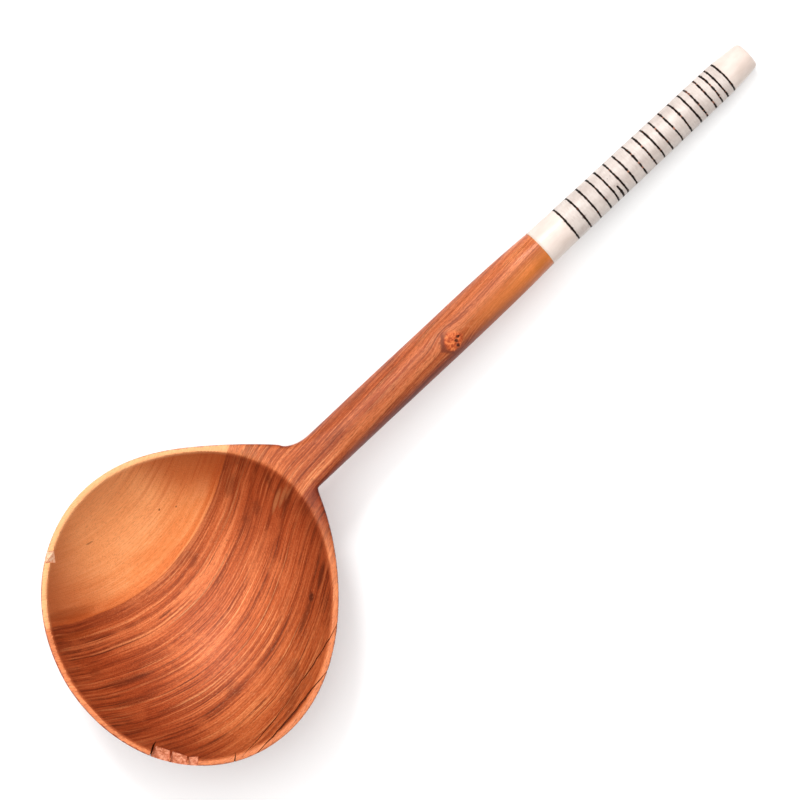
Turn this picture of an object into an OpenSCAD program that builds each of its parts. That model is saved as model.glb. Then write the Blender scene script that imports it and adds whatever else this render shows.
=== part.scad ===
// Round serving spoon: one carved piece of olive wood in a bone handle with ink-filled rings.
// Millimetres, +Z up. The spoon lies as it does on a table, with the belly of its bowl and the
// tip of its handle both on Z = 0. +X runs along the handle to its tip, and the origin is on the
// table under the middle of the spoon's length and width.

/* [Bowl] */
// Width of the bowl across its rim
bowl_w = 102.2; // [96:0.2:108]
// Length from the bowl's widest line to its toe
toe_len = 46; // [42:0.2:50]
// Length from the widest line to where the bowl's sides run out in the neck
neck_len = 58.8; // [57:0.2:62]
// Depth of the bowl outside, from its rim to its belly
bowl_d = 36; // [35:0.5:38]
// Distance from the handle's line to the middle of the bowl, which lies to one side
bowl_side = 7.3; // [0.1:0.2:9.1]
// How far the bowl's middle comes back to the handle's line for each millimetre of length
bowl_skew = 0.064; // [0:0.002:0.1]
// Radius of the hollow's lip
lip_r = 46.8; // [44:0.2:47]
// Depth of the hollow below the rim
hollow_d = 30.5; // [26:0.5:31]
// Distance from the bowl's widest line to the middle of the hollow, towards the neck
hollow_shift = 2; // [1.6:0.2:2.4]
// Height of the rim above the handle's line
rim_z = 7; // [6:0.2:7.4]

/* [Shank] */
// Length of the wood from the bowl's widest line to the bone
shank_len = 164.5; // [150:0.5:180]
// Diameter of the shank along its middle
shank_d = 14.6; // [13.8:0.2:16]
// Length over which the shank narrows to the bone
shank_fade = 12; // [8:1:16]
// Rounding in the inside corner of the neck on the side where the bowl turns sharply
near_fillet = 2.5; // [1:0.5:6]
// Rounding of the neck on its other side
far_fillet = 32; // [12:1:34]
// Rounding between the belly and the underside of the shank
belly_fillet = 16; // [8:1:20]
// Diameter of the tenon that the bone is glued on
tenon_d = 7.6; // [6:0.1:8]
// Length of the tenon
tenon_len = 38; // [25:1:42]

/* [Bone handle] */
// Length of the bone from the wood to its tip
bone_len = 93; // [90:0.2:100]
// Diameter of the bone where it meets the wood
joint_d = 13.2; // [12.6:0.2:14]
// Diameter of the bone at its first ring
first_ring_d = 12.5; // [12:0.1:12.6]
// Diameter of the bone at its last ring
last_ring_d = 11.4; // [11:0.1:11.6]
// Diameter of the bone at its tip
tip_d = 9.6; // [9:0.1:10.6]
// Rounding of the edge at the tip
tip_edge = 1; // [0.4:0.2:1.4]
// Length of the marrow bore, from the wood
marrow_len = 46; // [44:1:60]
// Diameter of the bore from the tip to the marrow bore, which the plug closes
tip_bore_d = 5.4; // [4:0.2:6]
// Length of the plug in the tip
plug_len = 9; // [5:1:20]
// Thickness of the adhesive round the tenon and the plug
glue_film = 0.15; // [0.1:0.05:0.2]

/* [Rings] */
// Width of each cut ring at the bone's surface
ring_w = 0.8; // [0.4:0.05:0.9]
// Depth of each cut ring
ring_depth = 0.4; // [0.2:0.05:0.5]
// How far the ink lies below the bone's surface
ink_sunk = 0.05; // [0.02:0.01:0.1]
// Distance from the wood to the first ring
first_ring = 11.6; // [10:0.2:12]
// Distance from the wood to the ring that is cut only part of the way round
part_ring = 31.8; // [31:0.2:32.2]

/* [Rest] */
// Slope of the handle down to its tip when the spoon lies on a table, in degrees
rest_tilt = 5.3; // [5.1:0.05:5.5]

/* [Hidden] */
// Gaps between the rings from the first to the last, as the knife left them
ring_gaps = [5.5, 4.5, 4.5, 3.5, 4.1, 4, 4.5, 4.4, 3.6, 3.6, 4.4, 4.3, 4.3, 2.7, 4.1, 2.8, 2.4, 3.1];
ring_count = len(ring_gaps) + 1;
function sum_to(list, n) = n <= 0 ? 0 : list[n - 1] + sum_to(list, n - 1);
function ring_x(i) = first_ring + sum_to(ring_gaps, i);
last_ring = ring_x(ring_count - 1);
part_ring_from = 18;      // degrees from the top towards -Y
part_ring_to = 95;

function two_digits(n) = n < 10 ? str("0", n) : str(n);
function ring_name(i) = str("ring_ink_", two_digits(i + 1));
$fn = 96;

wood_brown = [0.74, 0.42, 0.25];
bone_cream = [0.95, 0.91, 0.86];
ink_black = [0.08, 0.05, 0.04];
glue_amber = [0.85, 0.72, 0.45];

bowl_x = -shank_len;
tenon_r = tenon_d / 2;
marrow_r = tenon_r + glue_film;
tip_bore_r = tip_bore_d / 2;
plug_r = tip_bore_r - glue_film;
tip_r = tip_d / 2;

// Shape of the carved wood
side_power = 0.775;       // how full the bowl's sides are on their way to the neck
belly_round = 2.2;        // the belly's section is (1 - v ^ belly_round) ^ belly_power
belly_power = 0.7;
rim_square = 8;           // how square the rim's edges are
rim_round = 1.2;          // height of the rim's rounded edge
neck_from = -14;          // the neck blends from bowl to shank between these places,
neck_to = 20;             // measured from where the bowl's sides run out
ring_points = 40;         // points round each section of the wood

function sign_pow(v, p) = sign(v) * pow(abs(v), p);
function ease(t) = let (u = min(max(t, 0), 1)) u * u * (3 - 2 * u);
function mix(a, b, t) = a + (b - a) * t;
// The larger of a and b, rounded over where they come within k of each other
function soft_max(a, b, k) = max(a, b) + pow(max(k - abs(a - b), 0), 2) / (4 * k);

function shank_r(x) = mix(shank_d, joint_d, exp(x / shank_fade)) / 2;
function bowl_mid(d) = bowl_skew * d - bowl_side;
function bowl_half(d) = bowl_w / 2 * (d < 0
    ? sqrt(1 - pow(d / toe_len, 2))
    : sign_pow(1 - pow(d / neck_len, 2), side_power));
function bowl_depth(d) =
    bowl_d * sign_pow(1 - pow(abs(d) / (d < 0 ? toe_len : neck_len), belly_round), belly_power);

// The outline's +Y and -Y sides and the underside, at distance d from the bowl's widest line
function far_side(d) = let (y = bowl_half(d) + bowl_mid(d))
    d < 0 ? y : soft_max(y, shank_r(bowl_x + d), far_fillet);
function near_side(d) = let (y = bowl_half(d) - bowl_mid(d))
    d < 0 ? y : soft_max(y, shank_r(bowl_x + d), near_fillet);
function depth(d) =
    d < 0 ? bowl_depth(d) : soft_max(bowl_depth(d), rim_z + shank_r(bowl_x + d), belly_fillet);

// One closed section across the wood: a flat-topped belly in the bowl, a circle in the shank
function section(d) = let (
    x = bowl_x + d,
    blend = ease((d - neck_len - neck_from) / (neck_to - neck_from)),
    half = (far_side(d) + near_side(d)) / 2,
    mid = (far_side(d) - near_side(d)) / 2,
    top_z = mix(rim_z, shank_r(x), blend),
    edge_z = mix(rim_z - min(rim_round, depth(d) / 2), 0, blend),
    keel_z = rim_z - depth(d),
    top_n = mix(rim_square, 2, blend),
    belly_n = mix(belly_round, 2, blend),
    belly_p = mix(belly_power, 0.5, blend)
) [for (j = [0 : ring_points - 1]) let (
    a = 360 * j / ring_points,
    v = cos(a),
    up = pow(max(1 - pow(abs(v), top_n), 0), 1 / top_n),
    down = pow(max(1 - pow(abs(v), belly_n), 0), belly_p)
) [x, mid + half * v, a < 180 ? mix(edge_z, top_z, up) : mix(edge_z, keel_z, down)]];

// Sections are close together where the outline turns: at the toe and through the neck
stations = concat(
    [for (a = [3 : 7 : 87]) -toe_len * cos(a)],
    [for (d = [0 : 5 : neck_len - 18]) d],
    [for (d = [neck_len - 15 : 2.5 : neck_len + 20]) d],
    [for (d = [neck_len + 28 : 9 : shank_len - 12]) d],
    [for (d = [shank_len - 9 : 3 : shank_len]) d]
);
sections = [for (d = stations) section(d)];

// Place of the whole spoon when it lies on the table
turn = [cos(rest_tilt), sin(rest_tilt)];
function along(x, z) = x * turn.x + z * turn.y;
toe_end = min([for (s = sections) for (p = s) along(p.x, p.z)]);
tip_end = along(bone_len - tip_edge, tip_r - tip_edge) + tip_edge;
tip_low = tip_edge + (tip_r - tip_edge) * turn.x + (bone_len - tip_edge) * turn.y;
left_y = max([for (s = sections) for (p = s) p.y]);
right_y = min([for (s = sections) for (p = s) p.y]);
table_side = 400;         // wider and longer than the spoon
small = 0.01;

module on_table() {
    translate([-(toe_end + tip_end) / 2, -(left_y + right_y) / 2, tip_low])
        rotate([0, rest_tilt, 0])
            children();
}

// Turns a profile drawn as [radius, distance along the handle] about the handle's line
module turned(profile) {
    rotate([0, 90, 0])
        rotate_extrude()
            polygon(profile);
}

// Closed skin through all the sections
module carved_skin() {
    n = ring_points;
    count = len(sections);
    side_faces = [for (i = [0 : count - 2]) for (j = [0 : n - 1]) let (
        a = i * n + j,
        b = i * n + (j + 1) % n
    ) each [[a, b + n, b], [a, a + n, b + n]]];
    toe_face = [for (j = [0 : n - 1]) j];
    joint_face = [for (j = [0 : n - 1]) count * n - 1 - j];
    polyhedron([for (s = sections) each s], concat(side_faces, [toe_face, joint_face]), convexity = 6);
}

// The hollow is part of a ball
module hollow() {
    ball_r = (pow(lip_r, 2) + pow(hollow_d, 2)) / (2 * hollow_d);
    translate([bowl_x + hollow_shift, bowl_mid(hollow_shift), rim_z - hollow_d + ball_r])
        sphere(r = ball_r);
}

// The tenon starts inside the shank so that the two are one piece of wood
module tenon() {
    root = 2;
    translate([-root, 0, 0])
        rotate([0, 90, 0])
            cylinder(r = tenon_r, h = tenon_len + root);
}

// Everything below the table's top, which leaves a small flat under the belly
module below_table() {
    translate([0, 0, -table_side / 2])
        cube(table_side, center = true);
}

module wooden_spoon() {
    color(wood_brown)
        difference() {
            on_table() {
                difference() {
                    carved_skin();
                    hollow();
                }
                tenon();
            }
            below_table();
        }
}

function bone_r(x) = lookup(x, [
    [0, joint_d / 2],
    [first_ring, first_ring_d / 2],
    [last_ring, last_ring_d / 2],
    [bone_len, tip_r]
]);
function ring_floor(x) = bone_r(x) - ring_depth;
floor_part = 0.6;         // width of a ring's floor as a part of its width at the surface
function ring_half(x, r) = ring_w / 2 * mix(floor_part, 1, (r - ring_floor(x)) / ring_depth);

// The cut ring at x: an open notch in the bone's profile, from the tip's side to the wood's side
function notch(x) = [
    [bone_r(x), x - ring_w / 2],
    [ring_floor(x), x - ring_half(x, ring_floor(x))],
    [ring_floor(x), x + ring_half(x, ring_floor(x))],
    [bone_r(x), x + ring_w / 2]
];
function filled_notch(x, r) = [
    [ring_floor(x), x - ring_half(x, ring_floor(x))],
    [r, x - ring_half(x, r)],
    [r, x + ring_half(x, r)],
    [ring_floor(x), x + ring_half(x, ring_floor(x))]
];
tip_arc = [for (a = [0 : 15 : 90]) [
    tip_r - tip_edge + tip_edge * cos(a),
    bone_len - tip_edge + tip_edge * sin(a)
]];

// The ring that the knife left unfinished: only an arc over the top and the -Y side
module part_turned(profile) {
    rotate([0, 90, 0])
        rotate([0, 0, 180 + part_ring_from])
            rotate_extrude(angle = part_ring_to - part_ring_from)
                polygon(profile);
}

module bone_sleeve() {
    outside = concat(
        [[joint_d / 2, glue_film]],
        [for (i = [0 : ring_count - 1]) each notch(ring_x(i))],
        tip_arc
    );
    bore = [
        [tip_bore_r, bone_len],
        [tip_bore_r, marrow_len],
        [marrow_r, marrow_len],
        [marrow_r, glue_film]
    ];
    color(bone_cream)
        on_table()
            difference() {
                turned(concat(outside, bore));
                part_turned(filled_notch(part_ring, bone_r(part_ring) + small));
            }
}

module bone_end_plug() {
    color(bone_cream)
        on_table()
            translate([bone_len - plug_len, 0, 0])
                rotate([0, 90, 0])
                    cylinder(r = plug_r, h = plug_len);
}

// Adhesive between shoulder and bone, and round the tenon in the marrow bore
module tenon_adhesive() {
    color(glue_amber)
        on_table()
            turned([
                [tenon_r, 0],
                [joint_d / 2, 0],
                [joint_d / 2, glue_film],
                [marrow_r, glue_film],
                [marrow_r, tenon_len],
                [tenon_r, tenon_len]
            ]);
}

module plug_adhesive() {
    color(glue_amber)
        on_table()
            turned([
                [plug_r, bone_len - plug_len],
                [tip_bore_r, bone_len - plug_len],
                [tip_bore_r, bone_len],
                [plug_r, bone_len]
            ]);
}

module ring_ink(i) {
    x = ring_x(i);
    color(ink_black)
        on_table()
            turned(filled_notch(x, bone_r(x) - ink_sunk));
}

module part_ring_ink() {
    color(ink_black)
        on_table()
            part_turned(filled_notch(part_ring, bone_r(part_ring) - ink_sunk));
}

wooden_spoon();
bone_sleeve();
bone_end_plug();
tenon_adhesive();
plug_adhesive();
for (i = [0 : ring_count - 1])
    ring_ink(i);
part_ring_ink();
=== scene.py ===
"""Round wooden serving spoon with a ringed bone handle: its looks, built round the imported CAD.

Shapes are worked out in the spoon's own frame, in millimetres: x = 0 where wood meets bone,
+x runs along the handle to its tip, +y to the left and +z up. place moves them into the row frame.
"""

import math

import bmesh
import bpy
import numpy as np
from mathutils import Matrix, Vector


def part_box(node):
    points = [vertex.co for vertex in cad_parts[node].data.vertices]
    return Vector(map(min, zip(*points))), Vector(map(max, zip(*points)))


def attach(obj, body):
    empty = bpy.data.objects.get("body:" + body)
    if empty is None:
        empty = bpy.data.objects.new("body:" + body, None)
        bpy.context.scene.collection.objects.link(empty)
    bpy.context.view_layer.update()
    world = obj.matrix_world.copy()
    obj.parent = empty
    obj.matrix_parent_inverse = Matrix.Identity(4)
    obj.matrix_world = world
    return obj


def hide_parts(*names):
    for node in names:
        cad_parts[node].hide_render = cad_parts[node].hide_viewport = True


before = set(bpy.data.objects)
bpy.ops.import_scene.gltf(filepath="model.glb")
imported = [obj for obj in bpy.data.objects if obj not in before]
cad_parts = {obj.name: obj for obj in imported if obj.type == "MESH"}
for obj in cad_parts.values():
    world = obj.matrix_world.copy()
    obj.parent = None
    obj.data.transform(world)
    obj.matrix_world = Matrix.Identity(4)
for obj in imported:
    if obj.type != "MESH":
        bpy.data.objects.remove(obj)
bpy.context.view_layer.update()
rng = np.random.default_rng(1947)

MM = 0.001

# The wood, with the same sizes as the CAD
BOWL_W, TOE_LEN, NECK_LEN, BOWL_D = 102.2, 46.0, 58.8, 36.0
BOWL_SIDE, BOWL_SKEW, RIM_Z = 7.3, 0.064, 7.0
HOLLOW_R, HOLLOW_D, HOLLOW_SHIFT = 46.8, 30.5, 2.0
SHANK_LEN, SHANK_D, SHANK_FADE = 164.5, 14.6, 12.0
NEAR_FILLET, FAR_FILLET, BELLY_FILLET = 2.5, 32.0, 16.0
TENON_R, TENON_LEN = 3.8, 38.0
SIDE_POWER = 0.775
BELLY_ROUND, BELLY_POWER = 2.2, 0.7
RIM_SQUARE, RIM_ROUND = 8.0, 1.2
NECK_FROM, NECK_TO = -14.0, 20.0
BOWL_X = -SHANK_LEN
# The outside's formula is held beyond this many half heights, so that it stays finite
FAR_OUT = 60

# The bone, with the same sizes as the CAD
BONE_LEN, TIP_EDGE, MARROW_LEN, MARROW_R = 93.0, 1.0, 46.0, 3.95
JOINT_R, FIRST_RING_R, LAST_RING_R, TIP_R = 6.6, 6.25, 5.7, 4.8
TIP_BORE_R, PLUG_R, PLUG_LEN, GLUE_FILM = 2.7, 2.55, 9.0, 0.15
BORE_EDGE = 0.15
RING_W, RING_DEPTH, FLOOR_PART, INK_SUNK = 0.8, 0.4, 0.6, 0.05
RING_GAPS = [5.5, 4.5, 4.5, 3.5, 4.1, 4, 4.5, 4.4, 3.6, 3.6, 4.4, 4.3, 4.3, 2.7, 4.1, 2.8, 2.4, 3.1]
RING_X = 11.6 + np.concatenate([[0], np.cumsum(RING_GAPS)])
PART_RING_X, PART_RING_FROM, PART_RING_TO = 31.8, 18.0, 95.0
# Between its first and last ring the bone is this much fuller than the CAD's, nearer to the photo
FULLER = 0.15
REST_TILT = math.radians(5.3)

# The plug lies on the handle's line, so its box gives the place of the whole spoon
axis = Vector((math.cos(REST_TILT), 0, -math.sin(REST_TILT)))
plug_low, plug_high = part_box("bone_end_plug")
joint = (plug_low + plug_high) / 2 - axis * (BONE_LEN - PLUG_LEN / 2) * MM
place = Matrix.Translation(joint) @ Matrix.Rotation(REST_TILT, 4, "Y") @ Matrix.Scale(MM, 4)


# -------- shape helpers


def mix(a, b, share):
    return a + (b - a) * share


def ease(t):
    """Smooth step: 0 below t = 0, 1 above t = 1."""
    u = np.clip(t, 0, 1)
    return u * u * (3 - 2 * u)


def signed_power(value, power):
    return np.sign(value) * np.abs(value) ** power


def soft_max(a, b, reach):
    """The larger of a and b, rounded over where they are within reach of each other."""
    return np.maximum(a, b) + np.maximum(reach - np.abs(a - b), 0) ** 2 / (4 * reach)


def distance(shape, points, step=0.02):
    """Signed distance to where shape is zero, true close to that surface."""
    value = shape(points)
    slope = sum(
        ((shape(points + e) - shape(points - e)) / (2 * step)) ** 2 for e in np.eye(3) * step
    )
    return value / np.sqrt(np.maximum(slope, 1e-12))


# -------- the wood's shape


def shank_radius(x):
    """Radius of the shank, which narrows to the bone's at the joint."""
    return mix(SHANK_D, 2 * JOINT_R, np.exp(x / SHANK_FADE)) / 2


def bowl_middle(d):
    """Where the bowl's middle line lies, d beyond its widest place towards the neck."""
    return BOWL_SKEW * d - BOWL_SIDE


def bowl_half(d):
    """Half width of the bowl, d beyond its widest place towards the neck."""
    return BOWL_W / 2 * signed_power(1 - (d / NECK_LEN) ** 2, SIDE_POWER)


def carved_body(points):
    """Zero on the outside of the bowl, neck and shank, less than zero within the wood."""
    x, y, z = points.T
    d = x - BOWL_X
    shank = shank_radius(x)
    left = soft_max(bowl_half(d) + bowl_middle(d), shank, FAR_FILLET)
    right = soft_max(bowl_half(d) - bowl_middle(d), shank, NEAR_FILLET)
    toe = d < 0
    half = np.where(toe, BOWL_W / 2, (left + right) / 2)
    mid = np.where(toe, bowl_middle(d), (left - right) / 2)
    across = np.hypot((y - mid) / half, np.where(toe, d / TOE_LEN, 0))

    along = np.clip(d, 0, None)
    blend = ease((d - NECK_LEN - NECK_FROM) / (NECK_TO - NECK_FROM))
    bowl_depth = BOWL_D * signed_power(1 - (along / NECK_LEN) ** BELLY_ROUND, BELLY_POWER)
    depth = soft_max(bowl_depth, RIM_Z + shank, BELLY_FILLET)
    top = mix(RIM_Z, shank, blend)
    edge = mix(RIM_Z - RIM_ROUND, 0, blend)
    top_n = mix(RIM_SQUARE, 2, blend)
    belly_n = mix(BELLY_ROUND, 2, blend)
    belly_p = mix(BELLY_POWER, 0.5, blend)
    up = np.clip((z - edge) / (top - edge), 0, FAR_OUT)
    down = np.clip((edge - z) / (edge - RIM_Z + depth), 0, FAR_OUT)
    upper = (across**top_n + up**top_n) ** (1 / top_n) - 1
    lower = (across**belly_n + down ** (1 / belly_p)) ** (1 / belly_n) - 1
    return np.where(z > edge, upper, lower)


# Radius of the hollow's lip every 15 degrees, from the toe by the right side and the neck to the left
LIP_STEP = 15
LIP_AT = [
    46.1, 47.3, 48.8, 50.1, 50.8, 50.6, 49.5, 47.8, 46.3, 45.8, 46.5, 48.0,
    50.2, 51.4, 51.4, 50.0, 49.2, 49.4, 49.4, 48.9, 47.8, 46.7, 46.0, 45.7,
]
hollow_centre = np.array([BOWL_X + HOLLOW_SHIFT, bowl_middle(HOLLOW_SHIFT)])


def lip_curve():
    """Angle and radius of the hollow's lip at every degree, as one smooth closed curve."""
    steps = np.linspace(-180, 180, 361)
    rough = np.interp(steps[:-1], np.arange(-180, 180, LIP_STEP), LIP_AT, period=360)
    window = np.hanning(2 * LIP_STEP + 1)
    smooth = np.convolve(np.tile(rough, 3), window / window.sum(), "same")[360:721]
    return steps, smooth


LIP_ANGLES, LIP_RADII = lip_curve()
BALL_R = (HOLLOW_R**2 + HOLLOW_D**2) / (2 * HOLLOW_D)
BALL_Z = RIM_Z - HOLLOW_D + BALL_R


def hollow(points):
    """Zero on the wall of the hollow, more than zero in its air."""
    rel = points[:, :2] - hollow_centre
    angle = np.degrees(np.arctan2(rel[:, 1], rel[:, 0]))
    lip = np.interp(angle, LIP_ANGLES, LIP_RADII, period=360)
    reach = np.hypot(rel[:, 0], rel[:, 1]) * HOLLOW_R / lip
    return BALL_R - np.hypot(reach, points[:, 2] - BALL_Z)


def knife_marks(points, size, height):
    """Slow rise and fall that hand tools leave in a surface."""
    x, y, z = (points / size).T
    waves = np.sin(x + 1.7 * np.sin(0.6 * y)) * np.sin(1.1 * y + 0.9)
    return height * (waves + 0.6 * np.sin(1.3 * z + 0.7 * x + 2.1))


LIP_ROUND, TABLE_ROUND = 1.3, 0.3
# Size and height of the knife marks outside and in the hollow, and how far off a surface is traced
OUTER_MARKS, HOLLOW_MARKS = (8.0, 0.07), (6.5, 0.06)
TRACED = 8


def wood(points):
    """Signed distance to the surface of the carved wood, without its tenon."""
    body = distance(carved_body, points) + knife_marks(points, *OUTER_MARKS)
    air = distance(hollow, points) + knife_marks(points + 31, *HOLLOW_MARKS)
    carved = soft_max(np.clip(body, -TRACED, TRACED), np.clip(air, -TRACED, TRACED), LIP_ROUND)
    row_z = points[:, 2] * math.cos(REST_TILT) - points[:, 0] * math.sin(REST_TILT) + joint.z / MM
    return soft_max(carved, -row_z, TABLE_ROUND)


# -------- mesh making

# About how many points are worked out at a time, to save memory
GRID_PART = 200_000
# How far a point may move to the surface in one round of settling, and how strongly it is evened out
SETTLE_REACH, SETTLE_PULL = 0.4, 0.5


def surface_net(field, low, high, step, worth):
    """Vertices and quads of the surface where field is zero, by naive surface nets.

    worth says which points of the grid can be near the surface; the others count as outside.
    """
    sides = [np.arange(a, b + step, step) for a, b in zip(low, high)]
    shape = tuple(len(s) for s in sides)
    grid = np.stack(np.meshgrid(*sides, indexing="ij"), -1).reshape(-1, 3)
    values = np.full(len(grid), 1.0)
    near = np.flatnonzero(worth(grid))
    for part in np.array_split(near, max(len(near) // GRID_PART, 1)):
        values[part] = field(grid[part])
    values = values.reshape(shape)
    strides = np.array([shape[1] * shape[2], shape[2], 1])

    cells, crossings, quads = [], [], []
    for k in range(3):
        u, v = (k + 1) % 3, (k + 2) % 3
        start = [slice(None)] * 3
        stop = [slice(None)] * 3
        start[k], stop[k] = slice(0, -1), slice(1, None)
        a, b = values[tuple(start)], values[tuple(stop)]
        node = np.argwhere((a < 0) != (b < 0))
        va, vb = a[tuple(node.T)], b[tuple(node.T)]
        point = np.stack([sides[i][node[:, i]] for i in range(3)], 1)
        point[:, k] += step * va / (va - vb)
        corner = []
        for du, dv in ((0, 0), (1, 0), (1, 1), (0, 1)):
            cell = node.copy()
            cell[:, u] -= du
            cell[:, v] -= dv
            corner.append(cell @ strides)
            cells.append(corner[-1])
            crossings.append(point)
        quad = np.stack(corner, 1)
        inward = va > 0
        quad[inward] = quad[inward][:, ::-1]
        quads.append(quad)
    cells, crossings = np.concatenate(cells), np.concatenate(crossings)
    ids, index = np.unique(cells, return_inverse=True)
    count = np.bincount(index)
    vertices = np.stack([np.bincount(index, crossings[:, i]) / count for i in range(3)], 1)
    return vertices, np.searchsorted(ids, np.concatenate(quads))


def settle(vertices, quads, field, rounds):
    """Evens out the vertices and puts each one exactly on the surface of field."""
    ends = np.concatenate([quads[:, [i, (i + 1) % 4]] for i in range(4)])
    ends = np.concatenate([ends, ends[:, ::-1]])
    count = np.bincount(ends[:, 0])
    step = 0.05
    for _ in range(rounds):
        value = field(vertices)
        slope = np.stack(
            [(field(vertices + e) - field(vertices - e)) / (2 * step) for e in np.eye(3) * step], 1
        )
        steep = np.maximum((slope**2).sum(1, keepdims=True), 0.05)
        normal = slope / np.sqrt(steep)
        off = np.clip(value[:, None] / np.sqrt(steep), -SETTLE_REACH, SETTLE_REACH)
        vertices = vertices - off * normal
        mean = np.stack([np.bincount(ends[:, 0], vertices[ends[:, 1], i]) / count for i in range(3)], 1)
        pull = mean - vertices
        vertices = vertices + SETTLE_PULL * (pull - (pull * normal).sum(1, keepdims=True) * normal)
    return vertices


def into_scene(name, data):
    made = bpy.data.objects.new(name, data)
    bpy.context.scene.collection.objects.link(made)
    return made


def make_object(name, mesh):
    """Adds a finished mesh to the scene as a piece of the spoon."""
    made = into_scene(name, mesh)
    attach(made, "root")
    return made


def mesh_from(name, vertices, faces):
    """A smooth mesh in the row frame from vertices in the spoon's frame."""
    mesh = bpy.data.meshes.new(name)
    mesh.from_pydata(np.asarray(vertices, float).tolist(), [], [list(face) for face in faces])
    mesh.transform(place)
    mesh.polygons.foreach_set("use_smooth", [True] * len(mesh.polygons))
    mesh.update()
    return mesh


# -------- cracks and chips in the rim


def top_of_wood(x, y):
    """Height of the wood's upper surface at one place."""
    heights = np.arange(RIM_Z + 2, RIM_Z - BOWL_D, -0.1)
    column = np.stack([np.full(len(heights), x), np.full(len(heights), y), heights], 1)
    within = np.flatnonzero(wood(column) < 0)
    return heights[within[0]] if len(within) else RIM_Z - 2


def lofted(name, loops):
    """A closed solid through loops of four corners each."""
    bm = bmesh.new()
    rows = [[bm.verts.new(v) for v in loop] for loop in loops]
    for a, b in zip(rows, rows[1:]):
        for i in range(4):
            j = (i + 1) % 4
            bm.faces.new([a[i], a[j], b[j], b[i]])
    bm.faces.new(rows[0][::-1])
    bm.faces.new(rows[-1])
    bmesh.ops.recalc_face_normals(bm, faces=bm.faces)
    bmesh.ops.triangulate(bm, faces=bm.faces)
    bm.transform(place)
    mesh = bpy.data.meshes.new(name)
    bm.to_mesh(mesh)
    bm.free()
    return mesh


CRACK_STEP, CRACK_ROUGH = 1.8, 0.12


def crack_solid(path, half, depth):
    """A thin wedge along a path over the wood, closing to nothing at both ends."""
    path = np.array(path, float)
    far = np.concatenate([[0], np.cumsum(np.hypot(*np.diff(path, axis=0).T))])
    spots = np.linspace(0, far[-1], max(int(far[-1] / CRACK_STEP), 4))
    points = np.stack([np.interp(spots, far, path[:, i]) for i in (0, 1)], 1)
    ahead = np.gradient(points, axis=0)
    ahead /= np.hypot(*ahead.T)[:, None]
    side = np.stack([-ahead[:, 1], ahead[:, 0]], 1)
    shape = np.sin(np.pi * np.linspace(0.04, 0.96, len(points))) ** 0.6
    shape *= 1 + CRACK_ROUGH * rng.uniform(-1, 1, len(points))
    points = points + side * rng.uniform(-CRACK_ROUGH, CRACK_ROUGH, (len(points), 1))
    loops = []
    for point, across, width in zip(points, side, shape * half):
        surface = top_of_wood(*point)
        floor = surface - depth * width / half
        corners = ((-0.3, floor), (0.3, floor), (1.3, surface + 1.5), (-1.3, surface + 1.5))
        loops.append([(*(point + across * width * share), z) for share, z in corners])
    return lofted("crack", loops)


def chip_solid(inner, outer, sink):
    """A slanted chip off the rim: its floor runs from the wall at inner up to the rim at outer."""
    floor = [(x, y, top_of_wood(x, y) - 0.15) for x, y in inner]
    floor += [(x, y, RIM_Z - sink) for x, y in outer]
    return lofted("chip", [floor, [(x, y, RIM_Z + 4) for x, y in inner + outer]])


def pit_solid(x, y, radius, depth):
    """A small rough hole in the wood's upper surface."""
    surface = top_of_wood(x, y)
    loops = []
    for share, z in ((0.35, surface - depth), (0.9, surface - 0.3 * depth), (1.3, surface + 1)):
        angles = np.pi / 2 * np.arange(4) + rng.uniform(0.4, 0.9)
        reach = radius * share * rng.uniform(0.8, 1.2, 4)
        loops.append([(x + r * math.cos(a), y + r * math.sin(a), z) for r, a in zip(reach, angles)])
    return lofted("pit", loops)


def sharpen(mesh, limit):
    """Marks the edges that turn by more than limit, so that they stay crisp."""
    bm = bmesh.new()
    bm.from_mesh(mesh)
    for edge in bm.edges:
        if edge.is_manifold and edge.calc_face_angle() > limit:
            edge.smooth = False
    bm.to_mesh(mesh)
    bm.free()


def cut_away(piece, solids, material):
    """Cuts the solids out of the piece; the fresh faces get the given material."""
    for mesh in solids:
        mesh.materials.append(material)
        tool = into_scene("cutter", mesh)
        cut = piece.modifiers.new("cut", "BOOLEAN")
        cut.operation, cut.object, cut.solver = "DIFFERENCE", tool, "EXACT"
        cut.material_mode = "TRANSFER"
        bpy.context.view_layer.update()
        done = bpy.data.meshes.new_from_object(piece.evaluated_get(bpy.context.evaluated_depsgraph_get()))
        piece.modifiers.clear()
        piece.data = done
        bpy.data.objects.remove(tool)


# Path, half width and depth of three cracks along the right side of the rim, of a small one after
# them and of one across the rim
RIM_CRACKS = [
    ([(-144.5, -52.6), (-152, -53.4), (-162, -55.0), (-172, -56.0), (-180, -56.4)], 0.42, 0.9),
    ([(-131, -43.4), (-136, -45.1), (-142, -46.8), (-148, -48.4), (-158, -50.4)], 0.28, 0.6),
    ([(-159, -51.0), (-168, -52.4), (-177, -53.5), (-184, -53.9)], 0.24, 0.5),
    ([(-184.5, -51.6), (-187.5, -54.2)], 0.22, 2.0),
    ([(-200.6, -31.2), (-205.6, -33.4)], 0.3, 5.0),
]
# Inner and outer side and depth of the chips off the rim beside that crack, and of one on the left
TORN_CHIPS = [
    ([(-199.3, -36.6), (-201.5, -32.4)], [(-206.2, -33.8), (-203.6, -40.0)], 0.9),
    ([(-196.6, -41.6), (-198.9, -37.3)], [(-203.2, -39.6), (-199.6, -44.8)], 0.4),
    ([(-194.0, -44.2), (-196.4, -42.2)], [(-199.4, -44.9), (-197.4, -47.2)], 0.7),
]
SAP_CHIP = ([(-182.8, 36.0), (-184.8, 33.0)], [(-187.6, 35.0), (-185.6, 38.6)], 0.5)
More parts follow.
